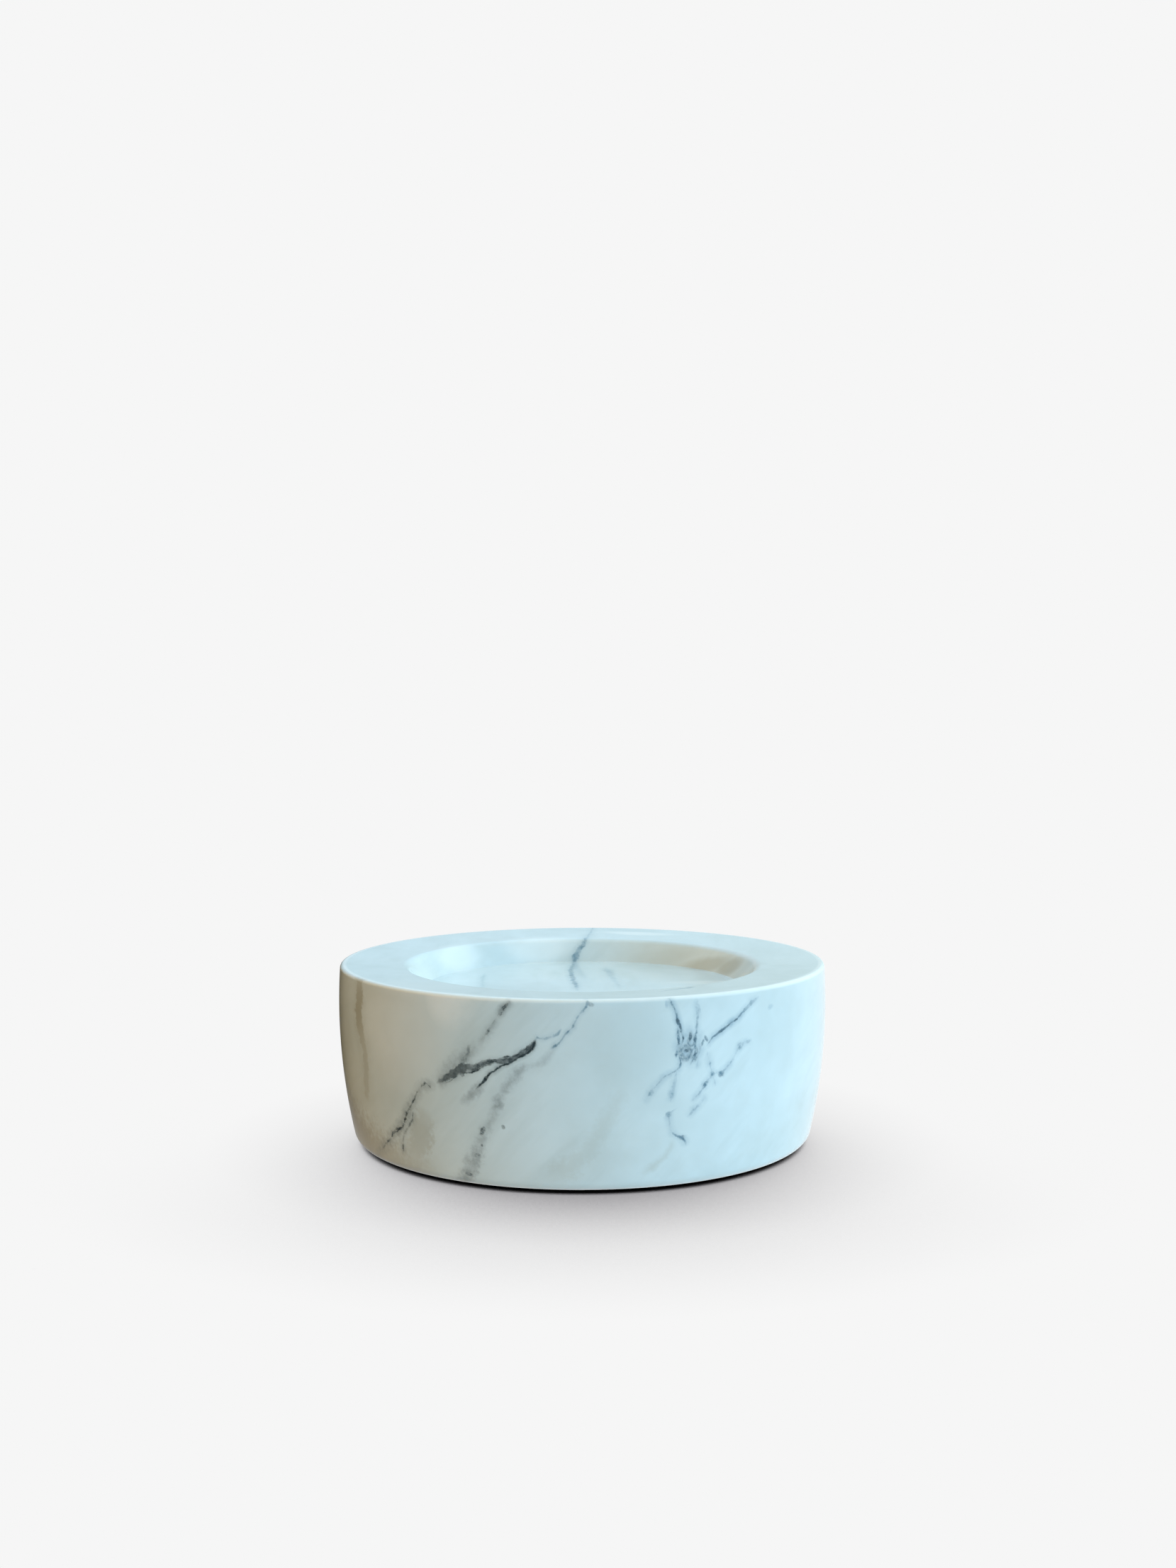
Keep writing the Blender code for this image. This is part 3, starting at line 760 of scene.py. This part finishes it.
def vein_masks(tree, vein, points, shared):
    """Nodes for one vein, as the masks (dark, filling), each from 0 to 1.

    shared holds what the veins have in common: the ragged position in the stone, and the noises
    that break a vein up, vary its width, mottle its dark mineral and cloud its haze.
    """
    places = [place for place, _half_width, _cover in points]
    along, across, inward = sheet_axes(places, vein.plunge)
    start, span = places[0], (places[-1] - places[0]).dot(along)
    shallowest = min((place - start).dot(inward) for place in places) - SHEET_MARGIN * MM
    shares = [(place - start).dot(along) / span for place in places]
    offsets = [(place - start).dot(across) / MM for place in places]
    swing = max(1.0, SWING_ROOM_SHARE * max(abs(offset) for offset in offsets))
    widest = max(half_width for _place, half_width, _cover in points)

    # No link in here turns a number into a colour or a colour into a vector. Where one does, the
    # renderer works on all veins at once and runs out of room for them.
    sockets = (shared["position"], start + inward * shallowest)
    offset = add_node(tree, "VectorMath", sockets, operation="SUBTRACT", label=vein.name)
    run_along, run_across, run_deep = [
        add_node(tree, "VectorMath", (offset, way), operation="DOT_PRODUCT").outputs["Value"]
        for way in (along / span, across / MM, inward / (vein.depth * MM))
    ]
    knots = add_node(tree, "CombineColor", (run_along, run_along, run_along))
    shape = add_node(tree, "RGBCurve", {"Color": knots})
    shape.mapping.extend = "HORIZONTAL"
    order = sorted(range(len(points)), key=lambda i: shares[i])
    curves = shape.mapping.curves
    set_curve(curves[0], [(shares[i], 0.5 + offsets[i] / (2 * swing)) for i in order])
    set_curve(curves[1], [(shares[i], points[i][1] / widest) for i in order])
    set_curve(curves[2], [(shares[i], points[i][2]) for i in order])
    shape.mapping.update()
    bend, width, strength = add_node(tree, "SeparateColor", (shape,)).outputs

    # How far a point lies off the trace and outside the vein, in mm
    centre = add_node(tree, "Math", (bend, 2 * swing, -swing), operation="MULTIPLY_ADD")
    off = add_node(tree, "Math", (run_across, centre), operation="SUBTRACT")
    off = add_node(tree, "Math", (off,), operation="ABSOLUTE")
    half_width = add_node(tree, "Math", (width, widest), operation="MULTIPLY")
    half_width = add_node(tree, "Math", (half_width, shared["uneven"]), operation="MULTIPLY")
    side = add_node(tree, "Math", (off, half_width), operation="SUBTRACT")
    sockets = {"Value": side, "From Min": vein.soft, "From Max": -vein.soft}
    inside = add_node(tree, "MapRange", sockets, **SMOOTH)

    # The sheet ends some way in, and grains of clear calcite break it up
    sockets = {"Value": run_deep, "From Min": 1.0, "From Max": FULL_DEPTH_SHARE}
    deep = add_node(tree, "MapRange", sockets, **SMOOTH)
    cover = add_node(tree, "Math", (strength, deep), operation="MULTIPLY")
    present = cover
    if vein.speckle:
        sockets = (shared["broken"], vein.speckle, 1 - vein.speckle)
        whole = add_node(tree, "Math", sockets, operation="MULTIPLY_ADD")
        present = add_node(tree, "Math", (cover, whole), operation="MULTIPLY")
        present = add_node(tree, "Math", (present, 1.0), operation="MINIMUM")

    sockets = {"Value": off, "From Min": vein.haze_width, "From Max": 0.0}
    haze = add_node(tree, "MapRange", sockets, **SMOOTH)
    for factor in (cover, vein.haze, shared["cloud"]):
        haze = add_node(tree, "Math", (haze, factor), operation="MULTIPLY")
    dark = inside
    for factor in (inside, present, vein.fill, shared["mottle"]):
        dark = add_node(tree, "Math", (dark, factor), operation="MULTIPLY")
    if vein.edge:
        rind = add_node(tree, "Math", (side,), operation="ABSOLUTE")
        sockets = {"Value": rind, "From Min": RIND_OUTER, "From Max": RIND_INNER}
        rind = add_node(tree, "MapRange", sockets, **SMOOTH)
        rind = add_node(tree, "Math", (rind, vein.edge), operation="MULTIPLY")
        dark = add_node(tree, "Math", (dark, rind), operation="MAXIMUM")
    dark = add_node(tree, "Math", (dark, present), operation="MULTIPLY")
    filling = add_node(tree, "Math", (inside, present), operation="MULTIPLY")
    return dark, add_node(tree, "Math", (filling, haze), operation="MAXIMUM")


def spot_mask(tree, spot, stone, camera, shared):
    """Nodes for one grain, ring or cloud, as a mask from 0 to 1."""
    eye = camera.matrix_world.translation
    hit, place, normal, _face = stone.ray_cast(eye, pixel_ray(camera, spot.across, spot.up))
    if not hit:
        raise RuntimeError(f"the spot at {spot.across}, {spot.up} misses the stone")
    lean = Matrix.Rotation(math.radians(spot.lean), 3, normal)
    level = lean @ Vector((0, 0, 1)).cross(normal).normalized()
    turn = Matrix((level, normal.cross(level), normal)).transposed().to_euler()
    reach = (spot.half_width * MM, spot.half_height * MM, max(spot.half_width, spot.half_height) * MM)
    sockets = {"Vector": shared["position"], "Location": place, "Rotation": turn, "Scale": reach}
    local = add_node(tree, "Mapping", sockets, vector_type="TEXTURE")
    away = add_node(tree, "VectorMath", (local,), operation="LENGTH").outputs["Value"]
    low, high = SPOT_EDGE_SHARE, SPOT_FULL_SHARE
    if spot.ring:
        away = add_node(tree, "Math", (away, 1.0), operation="SUBTRACT")
        away = add_node(tree, "Math", (away,), operation="ABSOLUTE")
        low, high = spot.ring, 0.0
    sockets = {"Value": away, "From Min": low, "From Max": high, "To Max": spot.cover}
    mask = add_node(tree, "MapRange", sockets, **SMOOTH)
    if spot.kind in SMOOTH_KINDS:
        return mask
    sockets = (mask, shared["grain" if spot.fill else "cloud"])
    return add_node(tree, "Math", sockets, operation="MULTIPLY", use_clamp=True)


def patches(tree, noise, position):
    """Nodes for one of the stone's noises, stretched between its levels."""
    sockets = {"Vector": position, "Scale": 1 / (noise.size * MM), "Detail": noise.detail}
    sockets["Roughness"] = noise.roughness
    texture = add_node(tree, "TexNoise", sockets)
    sockets = {"Value": texture, "From Min": noise.low, "From Max": noise.high}
    sockets.update({"To Min": noise.to_low, "To Max": noise.to_high})
    return add_node(tree, "MapRange", sockets)


def polished_marble(sizes, colours, stone, camera):
    """White calcite marble, sawn, turned and wet-polished.

    The polish gives a tight, mirror-like sheen over a ground of pale calcite, and the veins, which
    hold softer minerals, shine less.
    """
    material, tree, output = new_material("polished_marble")
    place = add_node(tree, "TexCoord").outputs["Object"]

    # Grain boundaries make every vein ragged: it wanders by about 0.3 mm
    sockets = {"Vector": place, "Scale": 1 / (WANDER_SIZE * MM), "Detail": WANDER_DETAIL}
    sockets["Roughness"] = WANDER_ROUGHNESS
    wander = add_node(tree, "TexNoise", sockets).outputs["Color"]
    shift = add_node(tree, "VectorMath", (wander, (0.5, 0.5, 0.5)), operation="SUBTRACT")
    sockets = (shift, (WANDER_REACH * MM,) * 3, place)
    ragged = add_node(tree, "VectorMath", sockets, operation="MULTIPLY_ADD")
    shared = {name: patches(tree, noise, place) for name, noise in VEIN_NOISES.items()}
    shared["position"] = ragged

    masks = {}

    def gather(name, value):
        if name in masks:
            value = add_node(tree, "Math", (masks[name], value), operation="MAXIMUM")
        masks[name] = value

    traces = [(vein, traced(stone, camera, vein)) for vein in PHOTO_VEINS]
    traces += [(vein, round_the_wall(sizes, vein)) for vein in HIDDEN_VEINS]
    for vein, points in traces:
        if len(points) < 3:
            raise RuntimeError(f"vein {vein.name} misses the stone")
        dark, filling = vein_masks(tree, vein, points, shared)
        gather(vein.kind, filling)
        if vein.fill or vein.edge:
            gather("dark", dark)
    for spot in SPOTS:
        mask = spot_mask(tree, spot, stone, camera, shared)
        gather(spot.kind, mask)
        if spot.fill:
            gather("dark", add_node(tree, "Math", (mask, spot.fill), operation="MULTIPLY"))

    # Beds in the clear marble run up to the right, as faint streaks
    sockets = {"Vector": ragged, "Rotation": (0, -BED_SLOPE, 0), "Scale": (BED_STRETCH, BED_STRETCH, 1)}
    bedded = add_node(tree, "Mapping", sockets, vector_type="TEXTURE")
    gather("cloud", patches(tree, BEDS, bedded))
    gather("cloud", patches(tree, CLOUDS, place))
    gather("tan", patches(tree, STAINS, place))

    # Painted highlight: the thin arris is paled towards the clear colour, in a band round its ring
    across = add_node(tree, "VectorMath", (place, (1, 1, 0)), operation="MULTIPLY")
    across = add_node(tree, "VectorMath", (across,), operation="LENGTH").outputs["Value"]
    height = add_node(tree, "SeparateXYZ", (place,)).outputs["Z"]
    ring = add_node(tree, "CombineXYZ", {"X": across, "Y": height})
    arris = (sizes.diameter / 2 - sizes.rim_rounding, sizes.base + sizes.height, 0)
    apart = add_node(tree, "VectorMath", (ring, arris), operation="DISTANCE").outputs["Value"]
    sockets = {"Value": apart, "From Min": ARRIS_HIGHLIGHT_OUTER * MM, "From Max": ARRIS_HIGHLIGHT_INNER * MM}
    gather("clear", add_node(tree, "MapRange", sockets))

    surface = (*colours.ground, 1)
    for name in ("cloud", "clear", "tan", "grey", "slate", "dark"):
        sockets = {0: masks[name], MIX_A: surface, MIX_B: (*getattr(colours, name), 1)}
        surface = add_node(tree, "Mix", sockets, data_type="RGBA").outputs[MIX_RESULT]
    sockets = {"Value": masks["dark"], "To Min": POLISH_ROUGHNESS, "To Max": VEIN_ROUGHNESS}
    rough = add_node(tree, "MapRange", sockets)
    sockets = {"Base Color": surface, "Roughness": rough, "IOR": CALCITE_IOR}
    shader = add_node(tree, "BsdfPrincipled", sockets)
    tree.links.new(shader.outputs[0], output.inputs["Surface"])
    return material


def moulded_rubber(colours):
    """Black nitrile rubber, moulded as a sheet and die-cut: matt, with the sheet's fine grain."""
    material, tree, output = new_material("moulded_rubber")
    place = add_node(tree, "TexCoord").outputs["Object"]
    sockets = {"Vector": place, "Scale": 1 / (RUBBER_GRAIN * MM), "Detail": RUBBER_DETAIL}
    grain = add_node(tree, "TexNoise", sockets)
    sockets = {"Height": grain, "Distance": RUBBER_RELIEF * MM, "Strength": 1.0}
    relief = add_node(tree, "Bump", sockets)
    sockets = {"Value": grain, "To Min": RUBBER_ROUGHNESS_LOW, "To Max": RUBBER_ROUGHNESS_HIGH}
    dull = add_node(tree, "MapRange", sockets)
    sockets = {"Base Color": (*colours.rubber, 1), "Roughness": dull, "Normal": relief}
    shader = add_node(tree, "BsdfPrincipled", sockets)
    tree.links.new(shader.outputs[0], output.inputs["Surface"])
    return material


def paper_sweep(settings):
    """Matt white paper. It shows its pale colour to the eye, with the tray's shadow on it, and
    gives the stone the light that a bright table on the right and a dark one on the left would."""
    material, tree, output = new_material("paper_sweep")
    pale = (*settings.pale, 1)
    place = add_node(tree, "TexCoord").outputs["Object"]
    rightward = add_node(tree, "SeparateXYZ", (place,)).outputs["X"]
    sockets = {"Value": rightward, "From Min": TABLE_LEFT, "From Max": TABLE_RIGHT}
    sockets.update({"To Min": TABLE_DIM, "To Max": TABLE_BRIGHT})
    table = add_node(tree, "MapRange", sockets, **SMOOTH)
    bounce = add_node(tree, "BsdfDiffuse", {"Color": table})

    # Most light comes over the tray from behind, so its soft shadow falls forward. What lies close
    # round a point adds a faint ring of shade, and a black line where the foot meets the paper.
    behind = add_node(tree, "CombineXYZ", {"Y": 1.0})
    sockets = {"Distance": SHADOW_REACH, "Normal": behind}
    forward = add_node(tree, "AmbientOcclusion", sockets, samples=SHADE_SAMPLES).outputs["AO"]
    around = {"Distance": RING_REACH}
    around = add_node(tree, "AmbientOcclusion", around, samples=SHADE_SAMPLES).outputs["AO"]
    hidden_behind = add_node(tree, "Math", (1.0, forward), operation="SUBTRACT")
    hidden_around = add_node(tree, "Math", (1.0, around), operation="SUBTRACT")
    fallen = add_node(tree, "Math", (hidden_behind, hidden_behind), operation="MULTIPLY")
    fallen = add_node(tree, "Math", (fallen, SHADOW_STRENGTH), operation="MULTIPLY")
    shade = add_node(tree, "Math", (hidden_around, RING_SHARE, fallen), operation="MULTIPLY_ADD")
    shade = add_node(tree, "Math", (shade, 1.0), operation="MINIMUM")
    sockets = {"Value": hidden_around, "From Min": CONTACT_FROM_SHARE, "From Max": CONTACT_FULL_SHARE}
    sockets.update({"To Min": 1.0, "To Max": 0.0})
    contact = add_node(tree, "MapRange", sockets, **SMOOTH)
    lit = add_node(tree, "Emission", {"Color": pale, "Strength": contact})
    dim = add_node(tree, "Emission", {"Color": (*settings.shade, 1), "Strength": contact})
    shown = add_node(tree, "MixShader", (shade, lit, dim))

    # In the polish the paper is as pale on the right, and fades out towards the dim left side
    sockets = {"Value": rightward, "From Min": MIRRORED_LEFT, "From Max": MIRRORED_RIGHT}
    sheen = add_node(tree, "MapRange", sockets, **SMOOTH)
    mirrored = add_node(tree, "Emission", {"Color": pale, "Strength": sheen})
    path = add_node(tree, "LightPath").outputs
    sockets = (path["Is Camera Ray"], path["Is Transmission Ray"])
    straight = add_node(tree, "Math", sockets, operation="MAXIMUM")
    seen = add_node(tree, "MixShader", (straight, bounce, shown))
    both = add_node(tree, "MixShader", (path["Is Glossy Ray"], seen, mirrored))
    tree.links.new(both.outputs[0], output.inputs["Surface"])
    return material


class Side(NamedTuple):
    """One side of the room's light: its heading, how narrow it is and what it adds."""

    name: str
    heading: tuple
    narrow: float
    tint: tuple


ROOM = (
    Side("window", (1.0, 0.0, 0.0), 2, (1.9, 2.0, 2.2)),
    Side("window_corner", (1.0, 1.0, 0.3), 5, (0.5, 0.5, 0.0)),
    Side("key", (0.75, -0.32, 0.56), 24, (0.0, 0.9, 1.35)),
    Side("front", (0.0, -1.0, 0.1), 6, (0.0, 0.65, 1.25)),
    Side("warm_wall", (-1.0, -0.5, 0.1), 3, (1.8, 0.85, 0.0)),
    Side("back_ceiling", (0.0, 1.0, 1.0), 6, (0.75, 1.25, 1.9)),
    Side("ceiling", (0.0, 0.0, 1.0), 12, (1.3, 1.1, 0.75)),
)
ROOM_EVERYWHERE = (0.0, 0.13, 0.17)


def room_light(settings):
    """A pale backdrop to the eye, and a room's light on the tray: a cool window on the right, a
    dim warm wall on the left. The polish shows some of both."""
    world = bpy.data.worlds.new("room")
    bpy.context.scene.world = world
    world.use_nodes = True
    tree = world.node_tree
    tree.nodes.clear()
    output = add_node(tree, "OutputWorld")
    heading = add_node(tree, "TexCoord").outputs["Generated"]
    light = ROOM_EVERYWHERE
    for side in ROOM:
        towards = (heading, Vector(side.heading).normalized())
        towards = add_node(tree, "VectorMath", towards, operation="DOT_PRODUCT").outputs["Value"]
        facing = add_node(tree, "Math", (towards, 0.0), operation="MAXIMUM")
        level = add_node(tree, "Math", (facing, side.narrow), operation="POWER")
        total = (level, side.tint, light)
        light = add_node(tree, "VectorMath", total, operation="MULTIPLY_ADD", label=side.name)
    room = add_node(tree, "Background", {"Color": light, "Strength": 1.0})
    backdrop = add_node(tree, "Background", {"Color": (*settings.pale, 1), "Strength": 1.0})

    # The polish shows a part of the backdrop, and none on the dim left side
    path = add_node(tree, "LightPath").outputs
    across = add_node(tree, "SeparateXYZ", (heading,)).outputs["X"]
    sockets = {"Value": across, "From Min": DIM_HEADING, "From Max": LIT_HEADING}
    sockets["To Max"] = BACKDROP_SHEEN_SHARE
    lit_side = add_node(tree, "MapRange", sockets, **SMOOTH)
    sheen = add_node(tree, "Math", (path["Is Glossy Ray"], lit_side), operation="MULTIPLY")
    sockets = (path["Is Camera Ray"], path["Is Transmission Ray"])
    straight = add_node(tree, "Math", sockets, operation="MAXIMUM")
    seen = add_node(tree, "Math", (straight, sheen), operation="MAXIMUM")
    both = add_node(tree, "MixShader", (seen, room, backdrop))
    tree.links.new(both.outputs[0], output.inputs["Surface"])


def place_camera(settings):
    """The camera where the photograph was taken from, with no shift."""
    data = bpy.data.cameras.new("photo_camera")
    data.lens = settings.lens
    data.sensor_width = SENSOR
    camera = add_object("photo_camera", data)
    place = Vector((settings.aside, -settings.distance, settings.eye_height))
    tilt = Matrix.Rotation(QUARTER_TURN - settings.pitch, 4, "X")
    lean = Matrix.Rotation(settings.roll, 4, "Z")
    camera.matrix_world = Matrix.Translation(place) @ tilt @ lean
    bpy.context.scene.camera = camera
    bpy.context.view_layer.update()


class TRAY_OT_stage(bpy.types.Operator):
    """Sets the pale floor, the soft light and the camera"""

    bl_idname = "tray.stage"
    bl_label = "Set the Stage"

    def execute(self, context):
        settings = context.scene.tray_stage
        context.scene.view_settings.view_transform = "Standard"
        place_camera(settings)
        half = settings.floor / 2
        mesh = bpy.data.meshes.new("floor")
        corners = [(-half, -half, 0), (half, -half, 0), (half, half, 0), (-half, half, 0)]
        mesh.from_pydata(corners, [], [(0, 1, 2, 3)])
        mesh.materials.append(paper_sweep(settings))
        add_object("floor", mesh)
        room_light(settings)
        return {"FINISHED"}


class TRAY_OT_stone(bpy.types.Operator):
    """Turns the marble body and polishes it"""

    bl_idname = "tray.stone"
    bl_label = "Turn the Stone"

    def execute(self, context):
        scene = context.scene
        sizes = scene.tray_sizes
        mesh = turned_mesh("turned_marble", meridian(sizes), sizes.base)
        stone = add_object("turned_marble", mesh)
        context.view_layer.update()
        mesh.materials.append(polished_marble(sizes, scene.tray_colours, stone, scene.camera))
        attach(stone, "root")
        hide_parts("tray_body")
        return {"FINISHED"}


class TRAY_OT_pads(bpy.types.Operator):
    """Gives the pads under the stone their rubber"""

    bl_idname = "tray.pads"
    bl_label = "Dress the Pads"

    def execute(self, context):
        rubber = moulded_rubber(context.scene.tray_colours)
        for name in PADS:
            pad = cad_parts[name]
            pad.data.materials.clear()
            pad.data.materials.append(rubber)
        return {"FINISHED"}


class TRAY_PT_sidebar(bpy.types.Panel):
    """Lists the tray's sizes, colours and making steps"""

    bl_idname = "TRAY_PT_sidebar"
    bl_label = "Marble Tray"
    bl_space_type = "VIEW_3D"
    bl_region_type = "UI"
    bl_category = "Tray"

    def draw(self, context):
        layout = self.layout
        for group in (context.scene.tray_sizes, context.scene.tray_colours, context.scene.tray_stage):
            box = layout.box()
            for name in group.bl_rna.properties.keys():
                if name not in ("rna_type", "name"):
                    box.prop(group, name)
        for step in STEPS_IN_ORDER:
            layout.operator(step.bl_idname)


STEPS_IN_ORDER = (TRAY_OT_stage, TRAY_OT_stone, TRAY_OT_pads)
GROUPS = {"tray_sizes": TraySizes, "tray_colours": StoneColours, "tray_stage": StageSettings}


def register():
    for made in (*GROUPS.values(), *STEPS_IN_ORDER, TRAY_PT_sidebar):
        bpy.utils.register_class(made)
    for name, group in GROUPS.items():
        setattr(bpy.types.Scene, name, bpy.props.PointerProperty(type=group))


def unregister():
    for name in GROUPS:
        delattr(bpy.types.Scene, name)
    for made in (TRAY_PT_sidebar, *STEPS_IN_ORDER, *GROUPS.values()):
        bpy.utils.unregister_class(made)


def main():
    register()
    bpy.ops.tray.stage()
    bpy.ops.tray.stone()
    bpy.ops.tray.pads()


if __name__ == "__main__":
    main()
